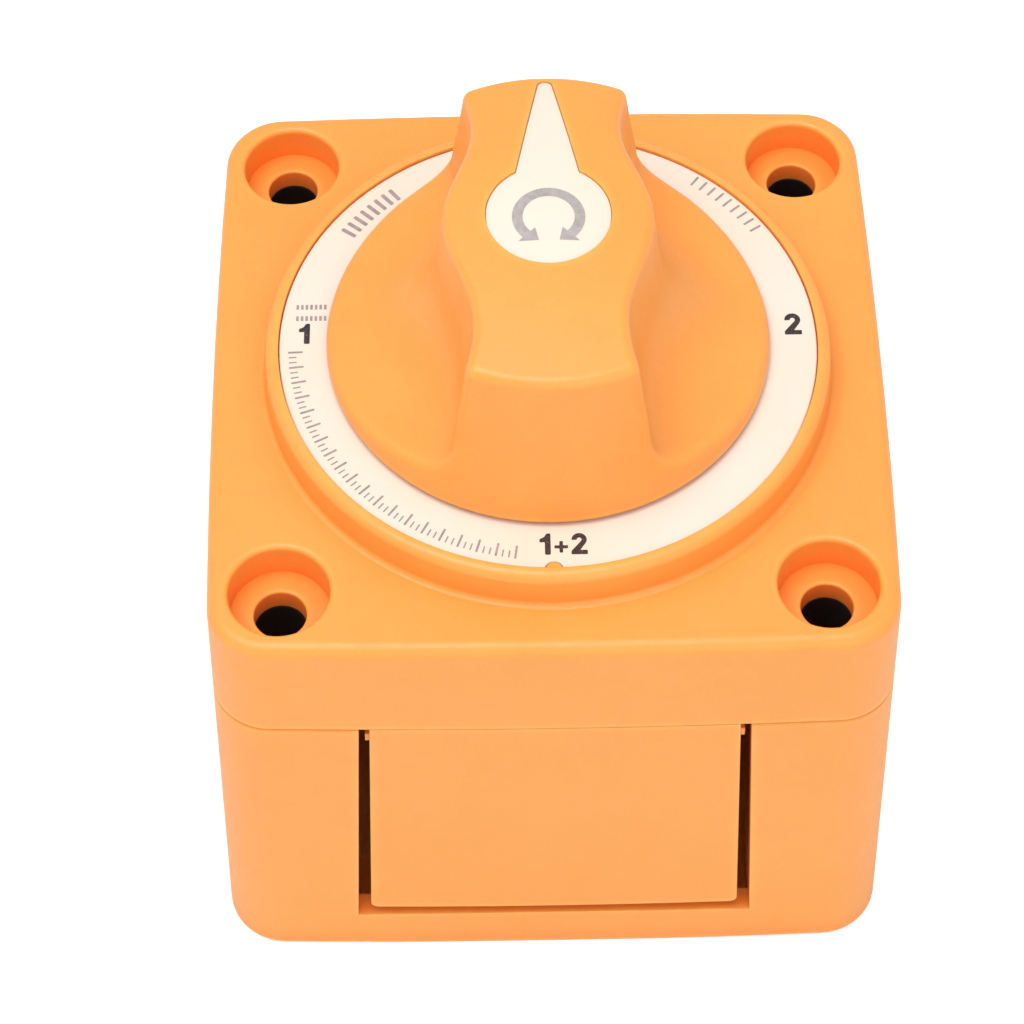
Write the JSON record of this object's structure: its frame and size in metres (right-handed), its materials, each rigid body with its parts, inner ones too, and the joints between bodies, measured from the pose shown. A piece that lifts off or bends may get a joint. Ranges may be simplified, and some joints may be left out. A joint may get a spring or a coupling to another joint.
{
  "type": "battery switch",
  "caption": "Square surface-mount rotary battery switch with a pointer knob turning between off, one, both and two positions.",
  "frame": {"origin": "centre of the back cover's back face", "axes": "+Z along the knob's axis, away from the surface the switch is screwed to; +Y towards the OFF position; +X towards position 2"},
  "size_m": [0.0686, 0.0686, 0.0765],
  "materials": {
    "case_plastic": "satin moulded orange plastic",
    "label_plastic": "cream printed plastic",
    "black_plastic": "black glass-filled moulding",
    "plated_copper": "tin-plated copper",
    "contact_copper": "bare copper with a worn silver flash",
    "stainless": "stainless steel",
    "seal_rubber": "nitrile rubber"
  },
  "bodies": {
    "back_cover": {"back_cover": "case_plastic"},
    "switch_body": {"upper_case": "case_plastic", "label_ring": "label_plastic", "contact_base": "black_plastic", "chamber_gasket": "seal_rubber", "base_screws": "stainless", "common_bus_bar": "contact_copper", "contact_stud_1": "plated_copper", "contact_stud_2": "plated_copper", "contact_stud_common": "plated_copper", "stud_o_rings": "seal_rubber", "flat_washers": "stainless", "lock_washers": "stainless", "terminal_nuts": "stainless", "detent_springs": "stainless"},
    "knob": {"knob": "case_plastic", "pointer_insert": "label_plastic", "knob_screw": "stainless", "rotor": "black_plastic", "shaft_o_ring": "seal_rubber", "contact_spring": "stainless"},
    "moving_contact": {"moving_contact": "contact_copper"},
    "side_plate_front": {"side_plate_front": "case_plastic"},
    "side_plate_right": {"side_plate_right": "case_plastic"},
    "side_plate_rear": {"side_plate_rear": "case_plastic"},
    "side_plate_left": {"side_plate_left": "case_plastic"}
  },
  "joints": [
    {"name": "body_lift", "type": "slide", "parent": "back_cover", "child": "switch_body", "axis": [0, 0, 1], "range_m": [0, 0.04]},
    {"name": "knob_turn", "type": "hinge", "parent": "switch_body", "child": "knob", "pos_m": [0, 0, 0.056], "axis": [0, 0, 1], "continuous": true, "deforming": ["detent_springs"]},
    {"name": "contact_float", "type": "slide", "parent": "knob", "child": "moving_contact", "axis": [0, 0, 1], "range_m": [0, 0.0006], "deforming": ["contact_spring"]},
    {"name": "front_plate_out", "type": "slide", "parent": "switch_body", "child": "side_plate_front", "axis": [0, -1, 0], "range_m": [0, 0.015]},
    {"name": "right_plate_out", "type": "slide", "parent": "switch_body", "child": "side_plate_right", "axis": [1, 0, 0], "range_m": [0, 0.015]},
    {"name": "rear_plate_out", "type": "slide", "parent": "switch_body", "child": "side_plate_rear", "axis": [0, 1, 0], "range_m": [0, 0.015]},
    {"name": "left_plate_out", "type": "slide", "parent": "switch_body", "child": "side_plate_left", "axis": [-1, 0, 0], "range_m": [0, 0.015]}
  ]
}
